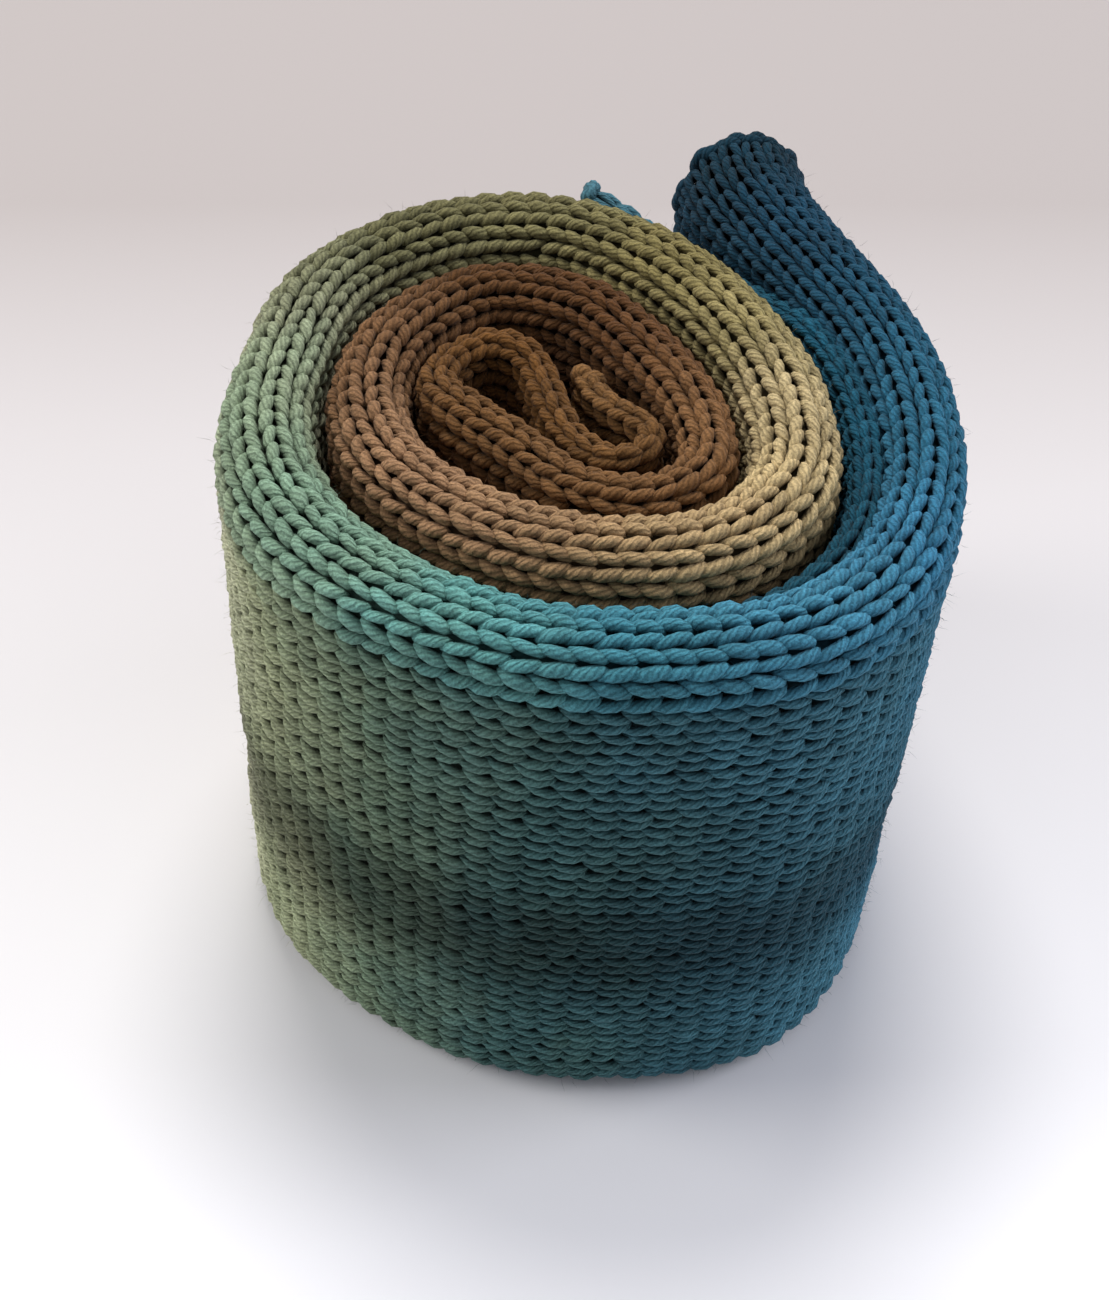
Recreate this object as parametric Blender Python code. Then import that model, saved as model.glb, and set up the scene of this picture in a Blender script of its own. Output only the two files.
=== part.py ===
"""Sock yarn blank: a machine knitted tube, pressed flat, rolled up and stood on its edge.

Metres, +Z up. The roll stands on z = 0 and the middle of its box is on the Z axis. The
photograph's viewer stands on the -Y side, above it.
"""

import math

import bmesh
import bpy
from mathutils import Vector

MM = 0.001

# The roll leans to its right by this much between its base and its top, and its base is this
# share smaller all round
LEAN = 4.5 * MM
TAPER = 0.035

# Each corner of the folded tube that stands on the surface is rounded, with a flat left between
BASE_CORNER = 0.36        # corner radius as a share of the band's thickness
BASE_CORNER_STEPS = 3
RIM_STEPS = 8             # faces across the rounded top fold
WALL_LEVELS = (0.3, 0.65)  # heights of the points on each wall, as a share of the straight wall
WALL_PUFF = 0.025         # the knit swells there by this share of the thickness

# The cloth's ends are soft: over this length they draw in
END_LENGTH = 2.0 * MM
END_SHRINK = 0.9

# The free end is the tube's open mouth
MOUTH_WALL = 3.0 * MM
MOUTH_DEPTH = 6.0 * MM

# A new section is placed where the band has turned this far or run this long
MAX_TURN = math.radians(11.0)
MAX_RUN = 5.5 * MM
ROUTE_STEPS = 24          # fine steps between two rows of the table

# The middle of the whole roll in the table's own x and y, which comes to stand on the Z axis
ROLL_MIDDLE = (-0.35 * MM, 13.52 * MM)

# The band's line on the roll's top, from the free end inwards
# columns in millimetres: x, y, thickness of the folded tube, height of its top fold
BAND_ROWS = (
    (24.3, 69.2, 19.2, 84.5),
    (25.6, 59.9, 17.8, 85.0),
    (29.4, 49.7, 16.0, 85.0),
    (35.0, 37.4, 14.4, 85.0),
    (40.5, 23.8, 12.4, 85.0),
    (43.4, 8.0, 11.1, 85.0),
    (42.7, -8.4, 10.2, 85.0),
    (37.2, -23.2, 11.4, 85.0),
    (27.0, -33.0, 13.0, 85.0),
    (12.0, -36.5, 13.0, 85.0),
    (-5.0, -35.5, 13.0, 85.0),
    (-21.5, -27.5, 13.0, 85.0),
    (-34.0, -15.0, 13.5, 85.0),
    (-40.0, 1.0, 12.6, 85.0),
    (-39.3, 19.0, 11.8, 85.0),
    (-34.2, 36.4, 13.5, 85.0),
    (-19.8, 48.4, 14.2, 85.0),
    (-2.9, 49.7, 14.0, 85.0),
    (10.9, 41.0, 13.4, 85.0),
    (20.6, 27.1, 12.6, 85.0),
    (26.5, 10.0, 12.0, 85.0),
    (26.5, -6.5, 11.5, 85.0),
    (17.8, -17.6, 11.5, 85.0),
    (3.5, -20.2, 11.5, 85.0),
    (-11.0, -15.5, 11.5, 85.0),
    (-22.8, -5.0, 11.0, 85.0),
    (-27.4, 8.5, 10.5, 85.0),
    (-24.5, 23.0, 11.0, 85.0),
    (-13.0, 33.0, 11.0, 85.0),
    (0.5, 29.8, 10.5, 85.0),
    (9.5, 18.8, 9.5, 84.5),
    (15.2, 7.0, 8.0, 84.0),
    (15.6, -4.0, 7.5, 83.5),
    (8.0, -9.2, 7.0, 83.0),
    (-1.0, -6.6, 7.0, 83.0),
    (-8.7, 0.6, 8.0, 83.5),
    (-14.6, 6.0, 8.2, 84.0),
    (-18.6, 11.4, 5.4, 84.0),
    (-17.2, 17.4, 5.2, 83.5),
    (-12.0, 21.0, 5.2, 83.5),
    (-6.8, 18.4, 5.0, 83.0),
    (-4.4, 12.2, 4.6, 82.5),
    (-2.0, 4.8, 4.4, 82.0),
    (1.8, -0.6, 4.0, 82.0),
    (5.6, -1.3, 3.6, 82.0),
    (8.5, 0.5, 3.4, 82.5),
    (8.8, 3.6, 3.4, 82.5),
    (6.4, 6.2, 3.4, 82.5),
    (3.9, 9.0, 3.7, 82.0),
    (1.9, 12.4, 4.0, 81.5),
    (0.6, 16.0, 4.0, 81.5),
)

# At the loose end the tube's inner wall has slipped round: it lies on the turn inside it as a
# layer of its own, and joins the band where the roll's front begins
# from its end behind the roll to the front, same columns
INNER_LAYER_ROWS = (
    (1.4, 60.4, 3.6, 81.8),
    (6.6, 57.8, 3.8, 80.4),
    (12.9, 52.7, 3.8, 79.0),
    (19.2, 45.9, 3.8, 79.0),
    (25.0, 38.0, 3.9, 79.5),
    (30.2, 29.6, 4.2, 80.5),
    (34.1, 19.8, 4.6, 81.0),
    (36.2, 8.7, 5.0, 81.0),
    (36.3, -2.5, 5.0, 81.0),
    (34.5, -12.6, 5.0, 81.0),
    (30.6, -20.3, 5.0, 81.0),
    (25.2, -25.3, 4.6, 80.5),
    (19.0, -28.8, 4.2, 80.0),
    (12.8, -32.7, 4.0, 79.5),
)

COLOUR = (0.16, 0.25, 0.24, 1.0)
ROUGHNESS = 0.95


def clear_scene():
    for obj in list(bpy.data.objects):
        bpy.data.objects.remove(obj, do_unlink=True)


def knit_material():
    material = bpy.data.materials.new("dyed_wool_knit")
    material.use_nodes = True
    shader = material.node_tree.nodes["Principled BSDF"]
    shader.inputs["Base Color"].default_value = COLOUR
    shader.inputs["Roughness"].default_value = ROUGHNESS
    shader.inputs["Metallic"].default_value = 0.0
    return material


def smooth_rows(table):
    """The table's rows joined by one smooth curve (Catmull-Rom), as fine steps in metres."""
    rows = [Vector(row) * MM for row in table]
    first = rows[0] * 2 - rows[1]
    last = rows[-1] * 2 - rows[-2]
    rows = [first, *rows, last]
    fine = []
    for before, start, end, after in zip(rows, rows[1:], rows[2:], rows[3:]):
        for step in range(ROUTE_STEPS):
            t = step / ROUTE_STEPS
            slope_in = (end - before) / 2
            slope_out = (after - start) / 2
            fine.append(
                start * (2 * t**3 - 3 * t**2 + 1)
                + slope_in * (t**3 - 2 * t**2 + t)
                + end * (-2 * t**3 + 3 * t**2)
                + slope_out * (t**3 - t**2)
            )
    fine.append(rows[-2])
    return fine


def band_sections(table):
    """(place, side, thickness, top) along a band, close together only where it turns."""
    fine = smooth_rows(table)
    sections = []
    run = 0.0
    kept_run = -1.0
    kept_way = None
    for index, row in enumerate(fine):
        ahead = fine[min(index + 1, len(fine) - 1)]
        behind = fine[max(index - 1, 0)]
        way = Vector((ahead[0] - behind[0], ahead[1] - behind[1], 0.0)).normalized()
        if index:
            run += math.hypot(row[0] - behind[0], row[1] - behind[1])
        is_end = index in (0, len(fine) - 1)
        turned = kept_way is not None and way.angle(kept_way) > MAX_TURN
        if is_end or turned or run - kept_run > MAX_RUN:
            side = Vector((way.y, -way.x, 0.0))
            place = Vector((row[0] - ROLL_MIDDLE[0], row[1] - ROLL_MIDDLE[1], 0.0))
            sections.append((place, side, row[2], row[3], run))
            kept_run = run
            kept_way = way
    length = run
    shrunk = []
    for place, side, thickness, top, at in sections:
        share = min(at, length - at) / END_LENGTH
        if share < 1.0:
            thickness *= END_SHRINK + (1 - END_SHRINK) * share
        shrunk.append((place, side, thickness, top))
    return shrunk


def tube_profile(thickness, top):
    """Points (across, up) round the folded tube: rounded top fold, soft walls, flat base."""
    half = thickness / 2
    corner = thickness * BASE_CORNER
    points = []
    for step in range(BASE_CORNER_STEPS + 1):
        angle = math.radians(-90 + 90 * step / BASE_CORNER_STEPS)
        points.append((half - corner + corner * math.cos(angle), corner + corner * math.sin(angle)))
    straight = top - half - corner
    for level in WALL_LEVELS:
        points.append((half + thickness * WALL_PUFF, corner + level * straight))
    for step in range(RIM_STEPS // 2):
        angle = math.pi * step / RIM_STEPS
        points.append((half * math.cos(angle), top - half + half * math.sin(angle)))
    mirrored = [(-across, up) for across, up in reversed(points)]
    return points + [(0.0, top)] + mirrored


def ring_places(section):
    place, side, thickness, top = section
    places = []
    for across, up in tube_profile(thickness, top):
        point = place + side * across
        point *= 1 - TAPER * (1 - up / top)
        point.x -= LEAN * (1 - up / top)
        point.z = up
        places.append(point)
    return places


def standing_band(name, table, open_mouth):
    """A closed solid: the folded tube's profile is drawn along the table's line."""
    sections = band_sections(table)
    bm = bmesh.new()
    ring = [bm.verts.new(point) for point in ring_places(sections[0])]
    edges = [bm.edges.new((a, b)) for a, b in zip(ring, ring[1:] + ring[:1])]
    mouth = bm.faces.new(ring)
    for section in sections[1:]:
        new = bmesh.ops.extrude_edge_only(bm, edges=edges)["geom"]
        edges = [item for item in new if isinstance(item, bmesh.types.BMEdge)]
        edges = [edge for edge in edges if edge.is_boundary]
        # each point's follower is at the far end of the edge that leaves it for the new ring
        new_verts = {vert for edge in edges for vert in edge.verts}
        following = []
        for vert in ring:
            neighbours = [edge.other_vert(vert) for edge in vert.link_edges]
            following.append(next(other for other in neighbours if other in new_verts))
        for vert, point in zip(following, ring_places(section)):
            vert.co = point
        ring = following
    bm.faces.new(ring)
    bmesh.ops.recalc_face_normals(bm, faces=bm.faces)
    if open_mouth:
        bmesh.ops.inset_region(bm, faces=[mouth], thickness=MOUTH_WALL, depth=0.0, use_even_offset=True)
        inward = mouth.normal * -MOUTH_DEPTH
        floor = bmesh.ops.extrude_discrete_faces(bm, faces=[mouth])["faces"][0]
        bmesh.ops.translate(bm, vec=inward, verts=floor.verts)
    bmesh.ops.triangulate(bm, faces=[f for f in bm.faces if len(f.verts) > 4])
    mesh = bpy.data.meshes.new(name)
    bm.to_mesh(mesh)
    bm.free()
    mesh.shade_smooth()
    mesh.set_sharp_from_angle(angle=math.radians(50))
    mesh.materials.append(knit_material())
    obj = bpy.data.objects.new(name, mesh)
    bpy.context.scene.collection.objects.link(obj)
    return obj


def rolled_blank():
    """The whole blank as one solid: the band and the inner layer that it runs into."""
    blank = standing_band("rolled_blank", BAND_ROWS, open_mouth=True)
    layer = standing_band("inner_layer", INNER_LAYER_ROWS, open_mouth=False)
    layer.hide_render = True
    layer.display_type = "WIRE"
    union = blank.modifiers.new("with_inner_layer", "BOOLEAN")
    union.operation = "UNION"
    union.object = layer
    return blank


def main():
    clear_scene()
    rolled_blank()


main()
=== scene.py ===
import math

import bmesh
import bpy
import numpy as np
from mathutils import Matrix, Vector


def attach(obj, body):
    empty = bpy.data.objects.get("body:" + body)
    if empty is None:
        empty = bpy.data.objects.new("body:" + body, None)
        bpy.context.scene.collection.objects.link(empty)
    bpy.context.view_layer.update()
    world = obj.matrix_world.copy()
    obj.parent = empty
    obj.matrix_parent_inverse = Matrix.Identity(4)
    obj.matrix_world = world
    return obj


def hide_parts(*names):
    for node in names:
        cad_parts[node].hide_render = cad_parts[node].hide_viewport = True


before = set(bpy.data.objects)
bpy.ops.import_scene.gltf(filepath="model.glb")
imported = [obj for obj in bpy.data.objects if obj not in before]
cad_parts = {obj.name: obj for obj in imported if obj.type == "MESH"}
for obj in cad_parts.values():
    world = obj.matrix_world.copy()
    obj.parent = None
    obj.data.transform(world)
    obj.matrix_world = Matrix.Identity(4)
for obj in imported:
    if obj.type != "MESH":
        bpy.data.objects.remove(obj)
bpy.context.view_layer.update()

# The looks of a sock yarn blank: a machine knitted tube of doubled sock yarn, pressed flat,
# dyed in a gradient and rolled up, standing on its folded edge. The solid gives the roll. Here
# the same roll is drawn again as a ground of cloth, and every stitch that can be seen is laid on
# it as two plump legs. Metres, +Z up, the photograph's viewer on the -Y side.

MM = 0.001
SEED = 11

# The roll, as in the solid's own source
LEAN = 4.5 * MM
TAPER = 0.035             # the base is this share smaller than the top
BASE_CORNER = 0.36        # corner radius at the base, as a share of the band's thickness
WALL_PUFF = 0.025         # swell of the walls, as a share of the thickness
END_LENGTH = 2.0 * MM
END_SHRINK = 0.9
ROUTE_STEPS = 24
ROLL_MIDDLE = (-0.35 * MM, 13.52 * MM)

# The band's line on the roll's top, from the free end inwards
# columns in millimetres: x, y, thickness of the folded tube, height of its top fold
BAND_ROWS = (
    (24.3, 69.2, 19.2, 84.5),
    (25.6, 59.9, 17.8, 85.0),
    (29.4, 49.7, 16.0, 85.0),
    (35.0, 37.4, 14.4, 85.0),
    (40.5, 23.8, 12.4, 85.0),
    (43.4, 8.0, 11.1, 85.0),
    (42.7, -8.4, 10.2, 85.0),
    (37.2, -23.2, 11.4, 85.0),
    (27.0, -33.0, 13.0, 85.0),
    (12.0, -36.5, 13.0, 85.0),
    (-5.0, -35.5, 13.0, 85.0),
    (-21.5, -27.5, 13.0, 85.0),
    (-34.0, -15.0, 13.5, 85.0),
    (-40.0, 1.0, 12.6, 85.0),
    (-39.3, 19.0, 11.8, 85.0),
    (-34.2, 36.4, 13.5, 85.0),
    (-19.8, 48.4, 14.2, 85.0),
    (-2.9, 49.7, 14.0, 85.0),
    (10.9, 41.0, 13.4, 85.0),
    (20.6, 27.1, 12.6, 85.0),
    (26.5, 10.0, 12.0, 85.0),
    (26.5, -6.5, 11.5, 85.0),
    (17.8, -17.6, 11.5, 85.0),
    (3.5, -20.2, 11.5, 85.0),
    (-11.0, -15.5, 11.5, 85.0),
    (-22.8, -5.0, 11.0, 85.0),
    (-27.4, 8.5, 10.5, 85.0),
    (-24.5, 23.0, 11.0, 85.0),
    (-13.0, 33.0, 11.0, 85.0),
    (0.5, 29.8, 10.5, 85.0),
    (9.5, 18.8, 9.5, 84.5),
    (15.2, 7.0, 8.0, 84.0),
    (15.6, -4.0, 7.5, 83.5),
    (8.0, -9.2, 7.0, 83.0),
    (-1.0, -6.6, 7.0, 83.0),
    (-8.7, 0.6, 8.0, 83.5),
    (-14.6, 6.0, 8.2, 84.0),
    (-18.6, 11.4, 5.4, 84.0),
    (-17.2, 17.4, 5.2, 83.5),
    (-12.0, 21.0, 5.2, 83.5),
    (-6.8, 18.4, 5.0, 83.0),
    (-4.4, 12.2, 4.6, 82.5),
    (-2.0, 4.8, 4.4, 82.0),
    (1.8, -0.6, 4.0, 82.0),
    (5.6, -1.3, 3.6, 82.0),
    (8.5, 0.5, 3.4, 82.5),
    (8.8, 3.6, 3.4, 82.5),
    (6.4, 6.2, 3.4, 82.5),
    (3.9, 9.0, 3.7, 82.0),
    (1.9, 12.4, 4.0, 81.5),
    (0.6, 16.0, 4.0, 81.5),
)

# The slipped inner wall at the loose end, from its end behind the roll to the front, same columns.
# Its rim sags by up to 2 mm between its end and the strip that shows, so the solid's is higher
INNER_LAYER_ROWS = (
    (1.4, 60.4, 3.6, 81.8),
    (6.6, 57.8, 3.8, 79.2),
    (12.9, 52.7, 3.8, 77.0),
    (19.2, 45.9, 3.8, 77.0),
    (25.0, 38.0, 3.9, 78.4),
    (30.2, 29.6, 4.2, 80.5),
    (34.1, 19.8, 4.6, 81.0),
    (36.2, 8.7, 5.0, 81.0),
    (36.3, -2.5, 5.0, 81.0),
    (34.5, -12.6, 5.0, 81.0),
    (30.6, -20.3, 5.0, 81.0),
    (25.2, -25.3, 4.6, 80.5),
    (19.0, -28.8, 4.2, 80.0),
    (12.8, -32.7, 4.0, 79.5),
)

# A soft trough runs round the walls where the roll has sagged on its base
TROUGH_LEVEL = 0.67       # share of the way down the straight wall
TROUGH_WIDTH = 0.07
TROUGH_DEPTH = 0.5 * MM

# The knit: stitches lie sideways, so a column of stitches, a wale, runs along the roll
# Millimetres along the band and the pitch of the rows there, which is tighter in the inner turns
ROW_PITCHES = ((0, 3.30), (300, 3.30), (350, 2.95), (620, 2.85))
RIM_WALES = 3             # the fold spreads these wider
FOLD_DRIFT = 0.35         # the fold runs beside a wale's edge by this share of a wale
ROW_SHIFT = 0.13          # rows that a wale runs ahead of its neighbours or behind them
SHIFT_ROWS = 19           # rows along which that changes
FIRST_ROW = 0.3           # rows from the band's start to its first stitches

# Wales from the top fold to the middle of the base, the width of those on the fold as pairs of
# millimetres along the band and millimetres wide, and what shows: wales from the fold, wales from
# the base, and the stretches whose walls or inner folds are seen
BAND_KNIT = {
    "wales": 27, "rim_wales": ((0, 3.5), (40, 3.7), (110, 4.5)), "rim": 6, "base": 3,
    "outer_wall": 326 * MM, "inner_wall": 62 * MM, "core_start": 484 * MM, "core": 8,
}
LAYER_KNIT = {
    "wales": 24, "rim_wales": ((0, 3.4),), "rim": 5, "base": 2,
    "outer_wall": 48 * MM, "inner_wall": 16 * MM, "core_start": 1000 * MM, "core": 0,
}

# One leg of a stitch, two strands of yarn held together and seen as one plump rope
LEG_START = -0.23         # rows past the stitch's own place
LEG_REACH = 1.58          # rows
LEG_FOOT = 0.105          # wales beside the wale's middle
RIM_SPREAD = 0.30         # wales that its head stands further out on the fold
WALL_SPREAD = 0.25        # and on the flat walls
LEG_BEND = 0.85
LEG_RADIUS = 0.190        # wales
LEG_SIDES = 8
LEG_RINGS = 4

# columns: share of the leg's length, radius as a share, depth under the solid's face in mm
LEG_FORM = (
    (0.00, 0.00, 1.45),
    (0.13, 0.80, 0.95),
    (0.37, 1.02, 0.50),
    (0.62, 0.98, 0.62),
    (0.85, 0.76, 1.25),
    (1.00, 0.00, 1.90),
)
MOST_LEGS = 3000          # in one piece
PLY_PITCH = 0.90 * MM     # between two ridges of the twist along a leg
PLIES = 6                 # ridges round a leg
PLY_OFFSET = 7            # ridges by which the twist of the darkest and the lightest leg differ
BAKE_MARGIN = 0.04        # round a leg's cell in the map for baking, as a share of the cell

# How much each leg differs from the next
UNEVEN_START = 0.04       # rows
UNEVEN_SPREAD = 0.03      # wales
UNEVEN_DEPTH = 0.07 * MM
UNEVEN_RADIUS = 0.08      # as a share
MIDDLE_TONE = 0.5
UNEVEN_TONE = 0.17

# The cloth under the stitches, this far under the solid's face, or by a share of a thin band
GROUND_INSET = 1.6 * MM
GROUND_SHARE = 0.35
NEARLY_ROUND = 0.9999     # its two long edges stop just short of each other, to be merged
MERGE_GAP = 0.02 * MM
SHARP_ANGLE = math.radians(50)
BAND_GRID = (200, 60)     # faces along the band and round it
LAYER_GRID = (48, 56)

# Fine fibres that stand off the yarn
FIBRES = 10000
FIBRE_LENGTH = (0.5 * MM, 2.0 * MM)
FIBRE_RADIUS = 0.020 * MM  # twice a real fibre's, so that it shows
FIBRE_ROOT = 0.9          # share of the leg's radius where it starts
FIBRE_SPLAY = 0.55        # lean from the upright
FIBRE_BEND = 0.6
FIBRE_SIDES = 3
FIBRE_RINGS = 1

# The tube's open end
MOUTH_WALL = 1.8 * MM
MOUTH_DEPTH = 6.0 * MM


def smooth_rows(table):
    """The table's rows joined by one smooth curve (Catmull-Rom), as fine steps in metres."""
    rows = np.array(table) * MM
    rows = np.vstack((rows[0] * 2 - rows[1], rows, rows[-1] * 2 - rows[-2]))
    t = (np.arange(ROUTE_STEPS) / ROUTE_STEPS)[:, None]
    fine = []
    for before, start, end, after in zip(rows, rows[1:], rows[2:], rows[3:]):
        fine.append(
            start * (2 * t**3 - 3 * t**2 + 1)
            + (end - before) / 2 * (t**3 - 2 * t**2 + t)
            + end * (-2 * t**3 + 3 * t**2)
            + (after - start) / 2 * (t**3 - t**2)
        )
    return np.vstack((*fine, rows[-2]))


def band_line(table, knit):
    """Run, knitted rows, place, side, thickness and top along a band.

    The side looks to the inner wall.
    """
    fine = smooth_rows(table)
    steps = np.hypot(*np.diff(fine[:, :2], axis=0).T)
    run = np.concatenate(([0.0], np.cumsum(steps)))
    way = np.gradient(fine[:, :2], run, axis=0)
    way /= np.linalg.norm(way, axis=1)[:, None]
    share = np.minimum(run, run[-1] - run) / END_LENGTH
    columns = {
        "x": fine[:, 0] - ROLL_MIDDLE[0],
        "y": fine[:, 1] - ROLL_MIDDLE[1],
        "side_x": way[:, 1],
        "side_y": -way[:, 0],
        "thickness": fine[:, 2] * np.minimum(1, END_SHRINK + (1 - END_SHRINK) * share),
        "top": fine[:, 3],
    }
    at, pitch = np.array(ROW_PITCHES).T * MM
    rows = np.concatenate(([0.0], np.cumsum(steps / np.interp(run[1:], at, pitch))))
    return {"run": run, "length": run[-1], "rows": rows, "columns": columns, "knit": knit}


def read_line(line, along, *names):
    """The named columns of a band's line at places along it."""
    return [np.interp(along, line["run"], line["columns"][name]) for name in names]


def half_girth(line, along):
    """The way from the top fold down one wall to the middle of the base."""
    thickness, top = read_line(line, along, "thickness", "top")
    half, corner = thickness / 2, thickness * BASE_CORNER
    return math.pi / 2 * (half + corner) + (top - half - corner) + (half - corner)


def on_band(line, along, down, proud):
    """Places on the folded tube and the faces' directions there.

    down is the way from the top fold, in metres, below zero on the outer wall and above zero
    on the inner wall. proud is the height over the solid's face.
    """
    x, y, side_x, side_y, thickness, top = read_line(
        line, along, "x", "y", "side_x", "side_y", "thickness", "top"
    )
    half, corner = thickness / 2, thickness * BASE_CORNER
    girth = half_girth(line, along)
    down = (down + girth) % (2 * girth) - girth
    wall = np.sign(down)
    fold_angle = np.clip(np.abs(down) / half, 0, math.pi / 2)
    rest = np.abs(down) - half * math.pi / 2
    straight = top - half - corner
    level = np.clip(rest / straight, 0, 1)
    rest = np.clip(rest - straight, 0, None)
    corner_angle = np.clip(rest / corner, 0, math.pi / 2)
    flat = np.clip(rest - corner * math.pi / 2, 0, None)
    out = np.sin(fold_angle) * np.cos(corner_angle)
    lift = np.cos(fold_angle) - np.sin(corner_angle)
    swell = thickness * WALL_PUFF * np.sin(math.pi * level)
    swell = swell - TROUGH_DEPTH * np.exp(-(((level - TROUGH_LEVEL) / TROUGH_WIDTH) ** 2))
    across = half * np.sin(fold_angle) + swell - corner * (1 - np.cos(corner_angle)) - flat
    up = top - half * (1 - np.cos(fold_angle)) - straight * level - corner * np.sin(corner_angle)
    across = wall * (across + out * proud)
    up = up + lift * proud
    lower = 1 - up / top
    narrowed = 1 - TAPER * lower
    place = np.stack(
        ((x + side_x * across) * narrowed - LEAN * lower, (y + side_y * across) * narrowed, up),
        axis=-1,
    )
    normal = np.stack((wall * out * side_x, wall * out * side_y, lift), axis=-1)
    return place, normal


def wale_down(line, along, wale):
    """The way down from the top fold to a place counted in wales."""
    knit = line["knit"]
    count = np.abs(wale)
    at, widths = np.array(knit["rim_wales"]).T * MM
    rim_wale = np.interp(along, at, widths)
    rim = rim_wale * RIM_WALES
    on_wall = (half_girth(line, along) - rim) / (knit["wales"] - RIM_WALES)
    down = np.where(count < RIM_WALES, rim_wale * count, rim + on_wall * (count - RIM_WALES))
    return np.sign(wale) * down


def new_piece(name, mesh, material):
    mesh.materials.append(material)
    piece = bpy.data.objects.new(name, mesh)
    bpy.context.scene.collection.objects.link(piece)
    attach(piece, "root")
    return piece


def open_mouth(bm, cap):
    """The tube's open end: a wall of cloth round a shallow recess."""
    bmesh.ops.inset_region(bm, faces=[cap], thickness=MOUTH_WALL, depth=0.0, use_even_offset=True)
    painted_flank_shade = cap.normal * -MOUTH_DEPTH
    floor = bmesh.ops.extrude_discrete_faces(bm, faces=[cap])["faces"][0]
    bmesh.ops.translate(bm, vec=painted_flank_shade, verts=floor.verts)


def ground_cloth(name, line, steps, material, mouth):
    """The tube's cloth under the stitches, one closed skin along the whole band."""
    along_steps, round_steps = steps
    bm = bmesh.new()
    bmesh.ops.create_grid(bm, x_segments=along_steps, y_segments=round_steps, size=0.5)
    verts = list(bm.verts)
    flat = np.array([vert.co for vert in verts])
    along = (flat[:, 0] + 0.5) * line["length"]
    around = flat[:, 1] * 2
    thickness = read_line(line, along, "thickness")[0]
    proud = np.maximum(-GROUND_INSET, -GROUND_SHARE * thickness)
    places, _ = on_band(line, along, around * half_girth(line, along) * NEARLY_ROUND, proud)
    dye = bm.loops.layers.uv.new("dye")
    shares = {}
    for vert, place, run, side in zip(verts, places, along, around):
        vert.co = place
        shares[vert] = (run / line["length"], 0.5 + 0.5 * side)
    for face in bm.faces:
        for loop in face.loops:
            loop[dye].uv = shares[loop.vert]
    bmesh.ops.remove_doubles(bm, verts=bm.verts, dist=MERGE_GAP)
    ends = [edge for edge in bm.edges if edge.is_boundary]
    caps = bmesh.ops.holes_fill(bm, edges=ends, sides=0)["faces"]
    for cap in caps:
        at_free_end = np.mean([shares.get(vert, (0.0,))[0] for vert in cap.verts]) < 0.5
        for loop in cap.loops:
            loop[dye].uv = (0.0 if at_free_end else 1.0, 0.5)
    bmesh.ops.recalc_face_normals(bm, faces=bm.faces)
    if mouth:
        open_mouth(bm, min(caps, key=lambda cap: cap.loops[0][dye].uv.x))
    mesh = bpy.data.meshes.new(name)
    bm.to_mesh(mesh)
    bm.free()
    mesh.shade_smooth()
    mesh.set_sharp_from_angle(angle=SHARP_ANGLE)
    return new_piece(name, mesh, material)


def leg_template(sides, rings):
    """A short plump leg: places of its points on rings, its faces and their yarn map."""
    bm = bmesh.new()
    yarn = bm.loops.layers.uv.new("yarn")
    bmesh.ops.create_uvsphere(bm, u_segments=sides, v_segments=rings + 1, radius=1.0, calc_uvs=True)
    bm.verts.index_update()
    heights = np.clip([vert.co.z for vert in bm.verts], -1, 1)
    template = {
        "ring": np.rint((1 - np.arccos(heights) / math.pi) * (rings + 1)).astype(int),
        "angle": np.array([math.atan2(vert.co.y, vert.co.x) for vert in bm.verts]),
        "corners": np.array([vert.index for face in bm.faces for vert in face.verts]),
        "counts": np.array([len(face.verts) for face in bm.faces]),
        "uvs": np.array([tuple(loop[yarn].uv) for face in bm.faces for loop in face.loops]),
    }
    bm.free()
    return template


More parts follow.
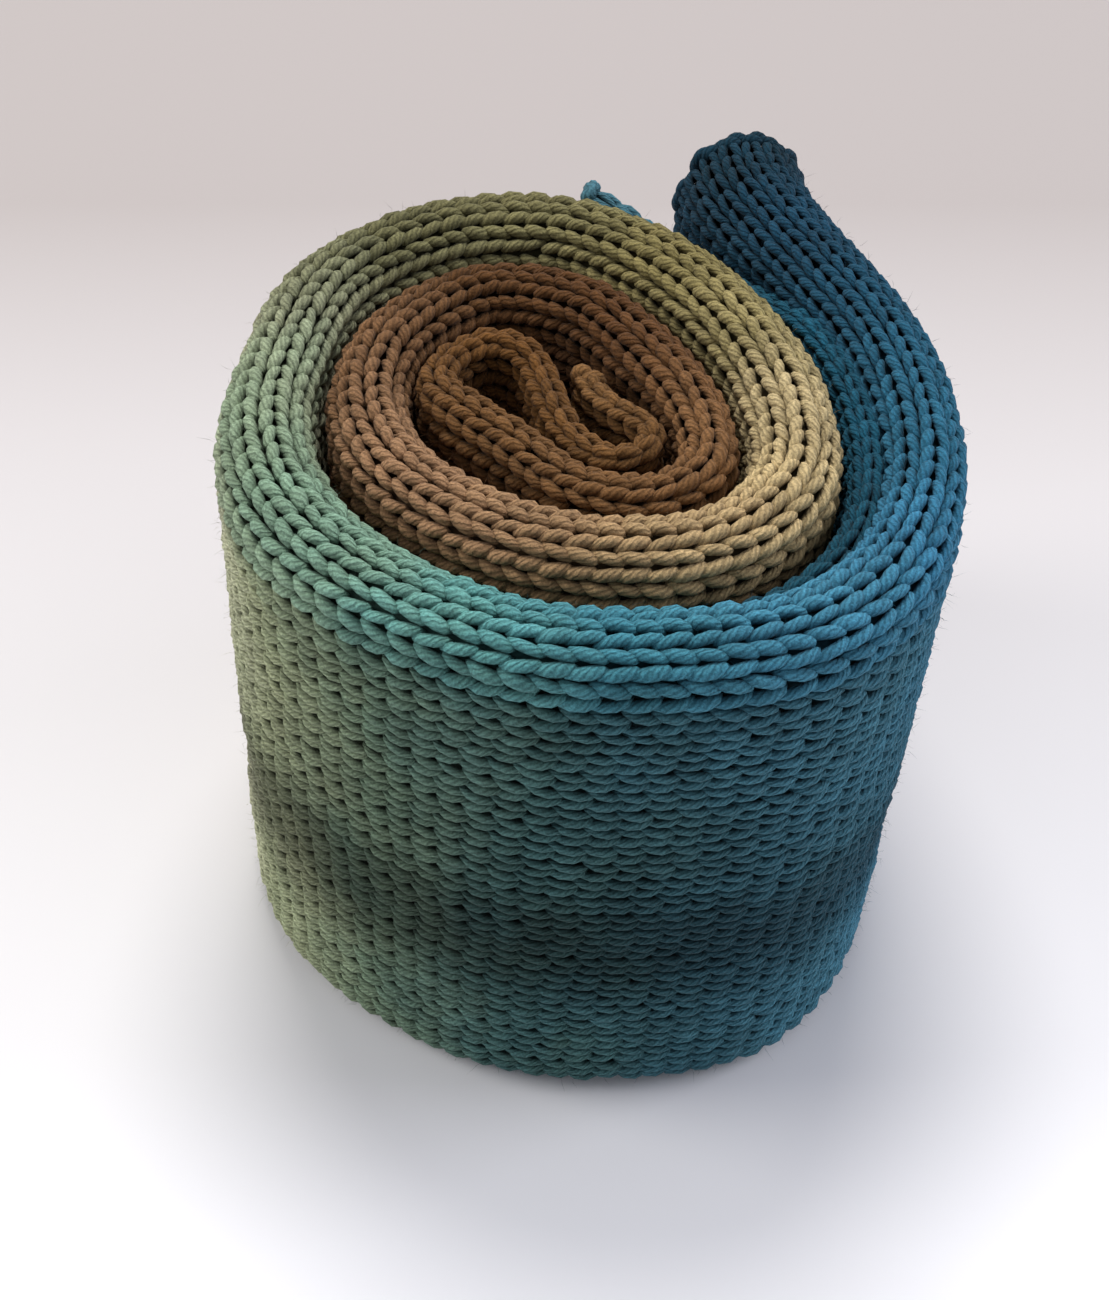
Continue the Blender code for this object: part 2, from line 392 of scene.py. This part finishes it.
def leg_mesh(name, template, centre, normal, radius, dye, tone):
    """Legs joined in one mesh. centre and normal have a row of points for each leg."""
    count = len(centre)
    way = np.gradient(centre, axis=1)
    way /= np.linalg.norm(way, axis=2)[:, :, None]
    normal = normal - way * np.sum(normal * way, axis=2)[:, :, None]
    normal /= np.linalg.norm(normal, axis=2)[:, :, None]
    beside = np.cross(normal, way)
    ring, angle = template["ring"], template["angle"]
    cosine, sine = np.cos(angle)[None, :, None], np.sin(angle)[None, :, None]
    points = centre[:, ring] + radius[:, ring, None] * (
        cosine * beside[:, ring] + sine * normal[:, ring]
    )
    # what stands on the surface is pressed flat there
    points[:, :, 2] = np.maximum(points[:, :, 2], 0.0)
    points_each = len(ring)
    corners_each = len(template["corners"])
    offsets = np.arange(count)[:, None] * points_each
    corners = (template["corners"][None, :] + offsets).ravel()
    counts = np.tile(template["counts"], count)
    mesh = bpy.data.meshes.new(name)
    mesh.vertices.add(count * points_each)
    mesh.vertices.foreach_set("co", points.astype(np.float32).ravel())
    mesh.loops.add(len(corners))
    mesh.loops.foreach_set("vertex_index", corners.astype(np.int32))
    mesh.polygons.add(len(counts))
    starts = np.concatenate(([0], np.cumsum(counts)[:-1]))
    mesh.polygons.foreach_set("loop_start", starts.astype(np.int32))
    mesh.update(calc_edges=True)
    mesh.shade_smooth()
    length = np.linalg.norm(np.diff(centre, axis=1), axis=2).sum(axis=1)
    uvs = template["uvs"][None, :, :]
    yarn = np.empty((count, corners_each, 2))
    yarn[:, :, 0] = uvs[:, :, 1] * (length / PLY_PITCH)[:, None] + tone[:, None] * PLY_OFFSET
    yarn[:, :, 1] = uvs[:, :, 0]
    # every leg has a cell of its own in the map for baking
    cells = math.ceil(math.sqrt(count))
    cell = np.stack((np.arange(count) % cells, np.arange(count) // cells), axis=1)
    bake = (cell[:, None, :] + BAKE_MARGIN + (1 - 2 * BAKE_MARGIN) * uvs) / cells
    for map_name, values in (
        ("yarn", yarn),
        ("dye", np.repeat(dye[:, None, :], corners_each, axis=1)),
        ("OFBake", bake),
    ):
        layer = mesh.uv_layers.new(name=map_name)
        layer.uv.foreach_set("vector", values.astype(np.float32).ravel())
    attribute = mesh.attributes.new("tone", "FLOAT", "POINT")
    attribute.data.foreach_set("value", np.repeat(tone, points_each).astype(np.float32))
    mesh.validate()
    return mesh


def shown_stitches(line):
    """Row and wale of every stitch that shows from some side, from the free end inwards."""
    knit = line["knit"]
    rows = np.arange(FIRST_ROW, line["rows"][-1] - 1)
    wales = np.arange(-knit["wales"], knit["wales"]) + 0.5 + FOLD_DRIFT
    row, wale = (grid.ravel() for grid in np.meshgrid(rows, wales, indexing="ij"))
    along = np.interp(row, line["rows"], line["run"])
    shown = np.abs(wale) < knit["rim"]
    shown |= np.abs(wale) > knit["wales"] - knit["base"]
    shown |= (wale < 0) & (along < knit["outer_wall"])
    shown |= (wale > 0) & (along < knit["inner_wall"])
    shown |= (np.abs(wale) < knit["core"]) & (along > knit["core_start"])
    return row[shown], wale[shown]


def stitch_legs(line, rng):
    """Centres, directions, radii, dye places and tones of both legs of every stitch."""
    knit = line["knit"]
    row, wale = shown_stitches(line)
    number = np.rint(wale - 0.5 - FOLD_DRIFT).astype(int) + knit["wales"]
    phase = rng.uniform(0, 2 * math.pi, 2 * knit["wales"])[number]
    ahead = rng.normal(0, ROW_SHIFT / 2, 2 * knit["wales"])[number]
    ahead = ahead + ROW_SHIFT * np.sin(2 * math.pi * row / SHIFT_ROWS + phase)
    row, wale, ahead = (np.repeat(values, 2) for values in (row, wale, ahead))
    along = np.interp(row, line["rows"], line["run"])
    side = np.tile((-1.0, 1.0), len(row) // 2)
    jitter = rng.normal(0, 1, (len(row), 4))
    share, form, depth = np.array(LEG_FORM).T
    start = LEG_START + ahead + UNEVEN_START * jitter[:, 0]
    run = np.interp(row[:, None] + start[:, None] + LEG_REACH * share, line["rows"], line["run"])
    on_fold = np.clip((2 * RIM_WALES - np.abs(wale)) / RIM_WALES, 0, 1)
    spread = WALL_SPREAD + (RIM_SPREAD - WALL_SPREAD) * on_fold + UNEVEN_SPREAD * jitter[:, 1]
    across = side[:, None] * (LEG_FOOT + spread[:, None] * share**LEG_BEND)
    depth = depth[None, :] * MM + UNEVEN_DEPTH * jitter[:, 2:3]
    down = wale_down(line, run, wale[:, None] + across)
    width = np.abs(wale_down(line, along, wale + 0.5) - wale_down(line, along, wale - 0.5))
    centre, normal = on_band(line, run, down, -depth)
    thick = width * LEG_RADIUS * (1 + UNEVEN_RADIUS * jitter[:, 3])
    radius = thick[:, None] * form[None, :]
    dye = np.stack((along / line["length"], 0.5 + 0.5 * wale / knit["wales"]), axis=1)
    tone = np.clip(MIDDLE_TONE + UNEVEN_TONE * jitter[:, 0], 0, 1)
    return centre, normal, radius, dye, tone


def stitches(name, arrays, material):
    """All stitches of a band, in pieces that follow each other from the free end inwards."""
    template = leg_template(LEG_SIDES, LEG_RINGS)
    total = len(arrays[0])
    shares = np.array_split(np.arange(total), math.ceil(total / MOST_LEGS))
    pieces = []
    for number, chosen in enumerate(shares, 1):
        piece_name = f"{name}_{number}"
        mesh = leg_mesh(piece_name, template, *(values[chosen] for values in arrays))
        pieces.append(new_piece(piece_name, mesh, material))
    return pieces


def loose_fibres(name, arrays, material, rng):
    """Fibres that stand off legs picked at random, each one a needle with a bend in it."""
    centre, normal, radius, dye, _ = arrays
    leg = rng.integers(0, len(centre), FIBRES)
    ring = rng.integers(1, LEG_RINGS + 1, FIBRES)
    out = normal[leg, ring] + rng.normal(0, FIBRE_SPLAY, (FIBRES, 3))
    out /= np.linalg.norm(out, axis=1)[:, None]
    root = centre[leg, ring] + out * FIBRE_ROOT * radius[leg, ring, None]
    half = rng.uniform(*FIBRE_LENGTH, (FIBRES, 1)) / 2
    bent = out + rng.normal(0, FIBRE_BEND, (FIBRES, 3))
    fibre = np.stack((root, root + out * half, root + (out + bent) * half), axis=1)
    beside = np.cross(out, rng.normal(0, 1, (FIBRES, 3)))
    thick = FIBRE_RADIUS * np.tile((0.0, 1.0, 0.0), (FIBRES, 1))
    beside = np.repeat(beside[:, None, :], 3, axis=1)
    template = leg_template(FIBRE_SIDES, FIBRE_RINGS)
    mesh = leg_mesh(name, template, fibre, beside, thick, dye[leg], np.full(FIBRES, 1.0))
    return new_piece(name, mesh, material)


# The loops slung across the wales at the tube's two ends
CHAIN_STEP = 0.33         # wales between two loops
CHAIN_REACH = 1.1         # wales that one loop covers
CHAIN_RADIUS = 1.05 * MM
CHAIN_RINGS = 7
CHAIN_SIZES = (0.8, 1.2)  # least and greatest share of that radius
CHAIN_TONES = (0.2, 0.7)
CHAIN_START = 1.1 * MM    # from the end to a loop's two feet
CHAIN_SLING = (-0.4 * MM, 1.5 * MM)  # how far its middle hangs out from there
CHAIN_DEPTH = 0.9 * MM    # of its feet under the solid's face
CHAIN_LIFT = 0.35 * MM    # by which its middle lies higher
CHAIN_SCATTER = 0.3 * MM  # of the depth


def edge_chain(name, line, at_end, material, rng):
    """The chain of loops that closes the knitting at the band's start or at its end."""
    knit = line["knit"]
    wales = np.arange(-knit["wales"], knit["wales"], CHAIN_STEP)
    count = len(wales)
    share = np.linspace(0, 1, CHAIN_RINGS + 2)
    arch = np.clip(np.sin(math.pi * share), 0, 1)[None, :]
    inwards = -1.0 if at_end else 1.0
    along = (line["length"] if at_end else 0.0) + inwards * (
        CHAIN_START - arch * rng.uniform(*CHAIN_SLING, (count, 1))
    )
    run = np.clip(along, 0, line["length"])
    down = wale_down(line, run, wales[:, None] + (share[None, :] - 0.5) * CHAIN_REACH)
    depth = CHAIN_DEPTH - CHAIN_LIFT * arch + rng.normal(0, CHAIN_SCATTER, (count, 1))
    centre, normal = on_band(line, run, down, -depth)
    side_x, side_y = read_line(line, run, "side_x", "side_y")
    centre[:, :, 0] -= side_y * (along - run)
    centre[:, :, 1] += side_x * (along - run)
    radius = CHAIN_RADIUS * rng.uniform(*CHAIN_SIZES, (count, 1)) * np.sqrt(arch)
    end = np.full(count, 1.0 if at_end else 0.0)
    dye = np.stack((end, 0.5 + 0.5 * wales / knit["wales"]), axis=1)
    template = leg_template(LEG_SIDES, CHAIN_RINGS)
    mesh = leg_mesh(name, template, centre, normal, radius, dye, rng.uniform(*CHAIN_TONES, count))
    return new_piece(name, mesh, material)


# Colours are what the eye reads off in sRGB
def linear(hex_colour):
    """The linear RGBA of a #rrggbb colour."""
    channels = [int(hex_colour[i:i + 2], 16) / 255 for i in (1, 3, 5)]
    straight = [c / 12.92 if c <= 0.04045 else ((c + 0.055) / 1.055) ** 2.4 for c in channels]
    return (*straight, 1.0)


def add_node(tree, kind, inputs=None, stops=(), **settings):
    """A node with its settings, its input values and links, and a ramp's stops.

    A stop is a place from 0 to 1 and a linear colour.
    """
    node = tree.nodes.new(kind)
    for name, value in settings.items():
        setattr(node, name, value)
    if stops:
        elements = node.color_ramp.elements
        while len(elements) > 1:
            elements.remove(elements[-1])
        elements[0].position, elements[0].color = stops[0]
        for place, colour in stops[1:]:
            elements.new(place).color = colour
    for socket, value in (inputs or {}).items():
        if isinstance(value, bpy.types.NodeSocket):
            tree.links.new(value, node.inputs[socket])
        else:
            node.inputs[socket].default_value = value
    return node


def new_material(name):
    material = bpy.data.materials.new(name)
    material.use_nodes = True
    tree = material.node_tree
    return material, tree, tree.nodes["Principled BSDF"]


# The dye on the rims, from the free end inwards: millimetres along the band and colour. The darker stops at
# 242 mm and from 440 to 462 mm are painted shade, where the olive and the brown turns run round the back of
# the roll into the core
RIM_DYE_AND_PAINTED_SHADE = (
    (0, "#0d2e3c"), (20, "#143c52"), (45, "#1c4c64"), (70, "#29627c"), (92, "#367494"),
    (112, "#407e98"), (132, "#428292"), (150, "#5c9490"), (167, "#7ca08c"), (183, "#7c947c"),
    (202, "#8c9c80"), (220, "#8c9074"), (242, "#676546"), (268, "#746e4a"), (288, "#80754a"),
    (306, "#8c8056"), (322, "#b2a078"), (342, "#bea87c"), (368, "#997b59"), (386, "#947254"),
    (402, "#906e50"), (418, "#745438"), (440, "#5a3c20"), (462, "#55371d"), (488, "#7c5938"),
    (520, "#6e4e2e"), (558, "#65431f"), (606, "#785632"),
)

# The dye on the walls, which took it less evenly, with painted light in it: darker and duller than on the
# rims as painted shade of walls that get less of the overhead light, and lighter than the rims around 194
# to 212 mm as painted light on the left wall
WALL_DYE_AND_PAINTED_LIGHT = (
    (0, "#133142"), (30, "#22495e"), (62, "#32627c"), (94, "#3e7084"), (124, "#3d6670"),
    (141, "#456866"), (159, "#687d68"), (177, "#9ba280"), (194, "#b4b598"), (212, "#b4b094"),
    (231, "#a8a282"), (260, "#948e66"), (305, "#a29268"), (355, "#947a58"), (405, "#6f4e34"),
    (606, "#523824"),
)

# The slipped inner wall took a deeper teal, its own millimetres from its end behind the roll
LAYER_DYE = (
    (0, "#4a7684"), (14, "#31667a"), (40, "#1d5870"), (75, "#1b5268"), (118, "#183f4a"),
)

# Light and dark bands down a wall, by the share of the way from the top fold to the base. They are partly
# the dye's own bands and partly painted light: painted shade in the dark band where the roll has sagged
# into a trough, and painted light from the floor on the wall's lowest part
WALL_BANDS = (
    (0.0, 0.80), (0.12, 0.98), (0.21, 1.12), (0.34, 0.98), (0.46, 0.84), (0.52, 0.50),
    (0.62, 0.40), (0.68, 0.60), (0.76, 1.04), (0.82, 1.16), (0.90, 1.16), (1.0, 1.0),
)

# Where the rim's colour gives way to the wall's, with the wall's painted shade and light, as shares of the
# same way
WALL_FADE = (0.045, 0.135)
DYE_DRIFT = 0.05          # by which the dye's edges wander, as a share of the band's length
TWIST_DRIFT = 1.3         # ridges by which the twist wanders
FIBRE_RELIEF = 1.6        # height of the fibres' relief where the plies' is 1

# Real sizes of the patterns, one over which is a noise's scale
DYE_PATCH = 16.67 * MM    # over which the dye's edges wander
SHADE_PATCH = 5.882 * MM  # of lighter or darker yarn
TWIST_PATCH = 1.25 * MM   # between tighter and looser twist
LOOP_GRAIN = 1.111 * MM   # on the backs of the loops
# single merino fibres are 0.02 mm thick and too fine to show, so they are drawn as tufts
FIBRE_GRAIN = 0.2941 * MM


def dyed_and_shaded_colour(tree, length, rim_colours, wall_colours):
    """The dye gradient's colour with the painted shade and light that its tables carry, and the place that
    its noise is read at.

    The dye map has x along the band and y round the tube.
    """
    places = add_node(tree, "ShaderNodeUVMap", uv_map="dye")
    split = add_node(tree, "ShaderNodeSeparateXYZ", {"Vector": places.outputs["UV"]})
    place = add_node(tree, "ShaderNodeTexCoord").outputs["Object"]
    drift = add_node(tree, "ShaderNodeTexNoise", {"Vector": place, "Scale": 1 / DYE_PATCH, "Detail": 3.0})
    shift = add_node(tree, "ShaderNodeMath", {0: drift.outputs["Fac"], 1: 0.5}, operation="SUBTRACT")
    moved = add_node(
        tree,
        "ShaderNodeMath",
        {0: shift.outputs[0], 1: DYE_DRIFT, 2: split.outputs["X"]},
        operation="MULTIPLY_ADD",
    )
    rim, wall = (
        add_node(
            tree,
            "ShaderNodeValToRGB",
            {"Fac": moved.outputs[0]},
            stops=[(along * MM / length, linear(colour)) for along, colour in dye],
        )
        for dye in (rim_colours, wall_colours)
    )
    off_fold = add_node(tree, "ShaderNodeMath", {0: split.outputs["Y"], 1: 0.5}, operation="SUBTRACT")
    apart = add_node(tree, "ShaderNodeMath", {0: off_fold.outputs[0]}, operation="ABSOLUTE")
    down = add_node(tree, "ShaderNodeMath", {0: apart.outputs[0], 1: 2.0}, operation="MULTIPLY")
    walled = add_node(
        tree,
        "ShaderNodeMapRange",
        {"Value": down.outputs[0], "From Min": WALL_FADE[0], "From Max": WALL_FADE[1]},
        interpolation_type="SMOOTHSTEP",
    )
    # painted shade and light, together with the dye's own bands, multiplied into the walls' colour
    bands = add_node(
        tree,
        "ShaderNodeValToRGB",
        {"Fac": down.outputs[0]},
        stops=[(share, (light, light, light, 1.0)) for share, light in WALL_BANDS],
    )
    banded = add_node(
        tree,
        "ShaderNodeMix",
        {0: 1.0, 6: wall.outputs["Color"], 7: bands.outputs["Color"]},
        data_type="RGBA",
        blend_type="MULTIPLY",
    )
    colour = add_node(
        tree,
        "ShaderNodeMix",
        {0: walled.outputs[0], 6: rim.outputs["Color"], 7: banded.outputs[2]},
        data_type="RGBA",
    )
    return colour.outputs[2], place


def sock_yarn(length, rim_colours, wall_colours):
    """Superwash merino sock yarn, spun and plied, then dyed in the piece: matt, with a soft bloom of fibre
    at grazing light, a diagonal twist and a little unevenness of shade. Its colour also carries painted
    shade on each leg's flanks and in the twist's grooves, and painted light on the crests."""
    material, tree, shader = new_material("plied_merino_sock_yarn")
    colour, place = dyed_and_shaded_colour(tree, length, rim_colours, wall_colours)
    yarn = add_node(tree, "ShaderNodeUVMap", uv_map="yarn")
    split = add_node(tree, "ShaderNodeSeparateXYZ", {"Vector": yarn.outputs["UV"]})
    twist = add_node(
        tree,
        "ShaderNodeMath",
        {0: split.outputs["Y"], 1: float(PLIES), 2: split.outputs["X"]},
        operation="MULTIPLY_ADD",
    )
    loose = add_node(tree, "ShaderNodeTexNoise", {"Vector": place, "Scale": 1 / TWIST_PATCH, "Detail": 2.0})
    phase = add_node(
        tree,
        "ShaderNodeMath",
        {0: loose.outputs["Fac"], 1: TWIST_DRIFT, 2: twist.outputs[0]},
        operation="MULTIPLY_ADD",
    )
    turned = add_node(
        tree, "ShaderNodeMath", {0: phase.outputs[0], 1: 2 * math.pi}, operation="MULTIPLY"
    )
    ridge = add_node(tree, "ShaderNodeMath", {0: turned.outputs[0]}, operation="SINE")
    ply = add_node(
        tree, "ShaderNodeMapRange", {"Value": ridge.outputs[0], "From Min": -1.0, "From Max": 0.5}
    )
    # painted shade on a leg's flanks, as if they lay in the shade of their neighbours, and painted light on
    # its crest, which is at the sine's lowest
    round_leg = add_node(
        tree, "ShaderNodeMath", {0: split.outputs["Y"], 1: 2 * math.pi}, operation="MULTIPLY"
    )
    painted_flank_shade = add_node(tree, "ShaderNodeMath", {0: round_leg.outputs[0]}, operation="SINE")
    fibre = add_node(
        tree,
        "ShaderNodeTexNoise",
        {"Vector": place, "Scale": 1 / FIBRE_GRAIN, "Detail": 4.0, "Roughness": 0.7},
    )
    patch = add_node(tree, "ShaderNodeTexNoise", {"Vector": place, "Scale": 1 / SHADE_PATCH, "Detail": 3.0})
    tone = add_node(tree, "ShaderNodeAttribute", attribute_name="tone")
    shade = colour
    # columns: what shades the yarn, its lowest and highest value, and how light it is at each
    for value, low, high, low_light, high_light in (
        (tone.outputs["Fac"], 0.0, 1.0, 0.84, 1.16),
        (patch.outputs["Fac"], 0.3, 0.7, 0.84, 1.14),
        # painted light on the crest and painted shade on the flanks
        (painted_flank_shade.outputs[0], -1.0, 0.3, 1.14, 0.55),
        # painted shade in the twist's grooves and painted light on its ridges
        (ply.outputs[0], 0.0, 1.0, 0.72, 1.08),
        (fibre.outputs["Fac"], 0.3, 0.7, 0.58, 1.34),
    ):
        light = add_node(
            tree,
            "ShaderNodeMapRange",
            {"Value": value, "From Min": low, "From Max": high, "To Min": low_light, "To Max": high_light},
        )
        scaled = add_node(
            tree, "ShaderNodeVectorMath", {0: shade, "Scale": light.outputs[0]}, operation="SCALE"
        )
        shade = scaled.outputs[0]
    tree.links.new(shade, shader.inputs["Base Color"])
    relief = add_node(
        tree,
        "ShaderNodeMath",
        {0: fibre.outputs["Fac"], 1: FIBRE_RELIEF, 2: ply.outputs[0]},
        operation="MULTIPLY_ADD",
    )
    bump = add_node(
        tree, "ShaderNodeBump", {"Height": relief.outputs[0], "Strength": 0.9, "Distance": 0.13 * MM}
    )
    tree.links.new(bump.outputs["Normal"], shader.inputs["Normal"])
    shader.inputs["Roughness"].default_value = 0.88
    shader.inputs["IOR"].default_value = 1.54
    shader.inputs["Specular IOR Level"].default_value = 0.12
    shader.inputs["Sheen Weight"].default_value = 0.04
    shader.inputs["Sheen Roughness"].default_value = 0.45
    return material


def knit_ground(length, rim_colours, wall_colours):
    """The same dyed wool seen between the stitches: the backs of the loops, without gloss. Its colour is
    darkened as painted shade, since little light comes between the stitches."""
    material, tree, shader = new_material("dyed_merino_knit_ground_in_painted_shade")
    colour, place = dyed_and_shaded_colour(tree, length, rim_colours, wall_colours)
    grain = add_node(tree, "ShaderNodeTexNoise", {"Vector": place, "Scale": 1 / LOOP_GRAIN, "Detail": 3.0})
    # painted shade: the ground's colour is cut to a tenth to a quarter, varied at random by the grain
    painted_gap_shade = add_node(
        tree,
        "ShaderNodeMapRange",
        {"Value": grain.outputs["Fac"], "From Min": 0.3, "From Max": 0.7, "To Min": 0.10, "To Max": 0.28},
    )
    shaded = add_node(
        tree, "ShaderNodeVectorMath", {0: colour, "Scale": painted_gap_shade.outputs[0]}, operation="SCALE"
    )
    tree.links.new(shaded.outputs[0], shader.inputs["Base Color"])
    bump = add_node(
        tree, "ShaderNodeBump", {"Height": grain.outputs["Fac"], "Strength": 0.6, "Distance": 0.3 * MM}
    )
    tree.links.new(bump.outputs["Normal"], shader.inputs["Normal"])
    shader.inputs["Roughness"].default_value = 0.95
    shader.inputs["IOR"].default_value = 1.54
    shader.inputs["Specular IOR Level"].default_value = 0.1
    return material


FLOOR_SIZE = 6.0
FLOOR_COLOUR = "#f2f1f5"
# painted shade: the paper greys towards the back, where less light falls on it
FLOOR_PAINTED_SHADE_COLOUR = "#ada6a5"
FLOOR_SHADE_FADE = (-0.08, 0.17)  # metres along Y between which painted shade turns the paper greyer
AIR_COLOUR = "#eef0f8"
AIR_LIGHT = 0.44
LIGHT_AIM = (0.0, 0.0, 0.05)
# columns: name, place, width, power, colour
LIGHTS = (
    ("overhead_light", (0.0, 0.38, 0.92), 0.45, 7.0, "#fffdf8"),
    ("left_light", (-0.86, 0.08, 0.50), 0.55, 4.9, "#fffdf8"),
    ("right_light", (0.86, 0.08, 0.50), 0.55, 4.4, "#f4f6ff"),
)


def studio():
    """A pale paper floor with painted shade greying it towards the back, a large soft light overhead, one
    at either side, and pale air.
    """
    bm = bmesh.new()
    bmesh.ops.create_grid(bm, x_segments=1, y_segments=1, size=FLOOR_SIZE / 2)
    mesh = bpy.data.meshes.new("paper_floor")
    bm.to_mesh(mesh)
    bm.free()
    floor = bpy.data.objects.new("paper_floor", mesh)
    bpy.context.scene.collection.objects.link(floor)
    material, tree, shader = new_material("matt_white_paper")
    coordinates = add_node(tree, "ShaderNodeTexCoord")
    split = add_node(tree, "ShaderNodeSeparateXYZ", {"Vector": coordinates.outputs["Object"]})
    # painted shade towards the back of the floor
    back = add_node(
        tree,
        "ShaderNodeMapRange",
        {"Value": split.outputs["Y"], "From Min": FLOOR_SHADE_FADE[0], "From Max": FLOOR_SHADE_FADE[1]},
    )
    paper = add_node(
        tree,
        "ShaderNodeValToRGB",
        {"Fac": back.outputs[0]},
        stops=[(0.0, linear(FLOOR_COLOUR)), (1.0, linear(FLOOR_PAINTED_SHADE_COLOUR))],
    )
    tree.links.new(paper.outputs["Color"], shader.inputs["Base Color"])
    shader.inputs["Roughness"].default_value = 0.9
    shader.inputs["Specular IOR Level"].default_value = 0.1
    mesh.materials.append(material)

    for name, place, size, power, colour in LIGHTS:
        lamp = bpy.data.lights.new(name, "AREA")
        lamp.shape = "DISK"
        lamp.size = size
        lamp.energy = power
        lamp.color = linear(colour)[:3]
        holder = bpy.data.objects.new(name, lamp)
        holder.location = place
        ray = Vector(LIGHT_AIM) - Vector(place)
        holder.rotation_euler = ray.to_track_quat("-Z", "Y").to_euler()
        bpy.context.scene.collection.objects.link(holder)

    world = bpy.data.worlds.new("pale_air")
    world.use_nodes = True
    background = world.node_tree.nodes["Background"]
    background.inputs["Color"].default_value = linear(AIR_COLOUR)
    background.inputs["Strength"].default_value = AIR_LIGHT
    bpy.context.scene.world = world
    bpy.context.scene.view_settings.view_transform = "Standard"


# The camera, fitted to the roll's outline in the photograph
IMAGE_WIDTH, IMAGE_HEIGHT = 1109, 1300
CAMERA_TARGET = (0.35 * MM, -13.52 * MM, 46.26 * MM)
CAMERA_ELEVATION = math.radians(44.1)
CAMERA_DISTANCE = 294.5 * MM
FOCAL_PIXELS = 2140
AXIS_PIXEL = (581.5, 645.0)
SENSOR = 36.0


def camera():
    """The photograph's viewpoint: in front of the roll and well above it."""
    data = bpy.data.cameras.new("camera")
    data.sensor_width = SENSOR
    data.lens = SENSOR * FOCAL_PIXELS / IMAGE_HEIGHT
    data.shift_x = (IMAGE_WIDTH / 2 - AXIS_PIXEL[0]) / IMAGE_HEIGHT
    data.shift_y = (AXIS_PIXEL[1] - IMAGE_HEIGHT / 2) / IMAGE_HEIGHT
    data.clip_start = 0.01
    holder = bpy.data.objects.new("camera", data)
    back = Vector((0.0, -math.cos(CAMERA_ELEVATION), math.sin(CAMERA_ELEVATION)))
    holder.location = Vector(CAMERA_TARGET) + back * CAMERA_DISTANCE
    holder.rotation_euler = (-back).to_track_quat("-Z", "Y").to_euler()
    bpy.context.scene.collection.objects.link(holder)
    bpy.context.scene.camera = holder


rng = np.random.default_rng(SEED)

# The tube pressed flat: half its girth by its length
band = band_line(BAND_ROWS, BAND_KNIT)
yarn = sock_yarn(band["length"], RIM_DYE_AND_PAINTED_SHADE, WALL_DYE_AND_PAINTED_LIGHT)
ground = knit_ground(band["length"], RIM_DYE_AND_PAINTED_SHADE, WALL_DYE_AND_PAINTED_LIGHT)
tube = ground_cloth("ground_cloth", band, BAND_GRID, ground, mouth=True)
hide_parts("rolled_blank")
legs = stitch_legs(band, rng)
knitting = stitches("stitches", legs, yarn)
knitting.append(loose_fibres("loose_fibres", legs, yarn, rng))
knitting.append(edge_chain("cast_on_edge", band, False, yarn, rng))
knitting.append(edge_chain("bind_off_edge", band, True, yarn, rng))

layer = band_line(INNER_LAYER_ROWS, LAYER_KNIT)
layer_yarn = sock_yarn(layer["length"], LAYER_DYE, LAYER_DYE)
layer_ground = knit_ground(layer["length"], LAYER_DYE, LAYER_DYE)
inner_wall = ground_cloth("inner_layer_ground", layer, LAYER_GRID, layer_ground, mouth=False)
layer_knitting = stitches("inner_layer_stitches", stitch_legs(layer, rng), layer_yarn)
layer_knitting.append(edge_chain("inner_layer_edge", layer, False, layer_yarn, rng))

studio()
camera()
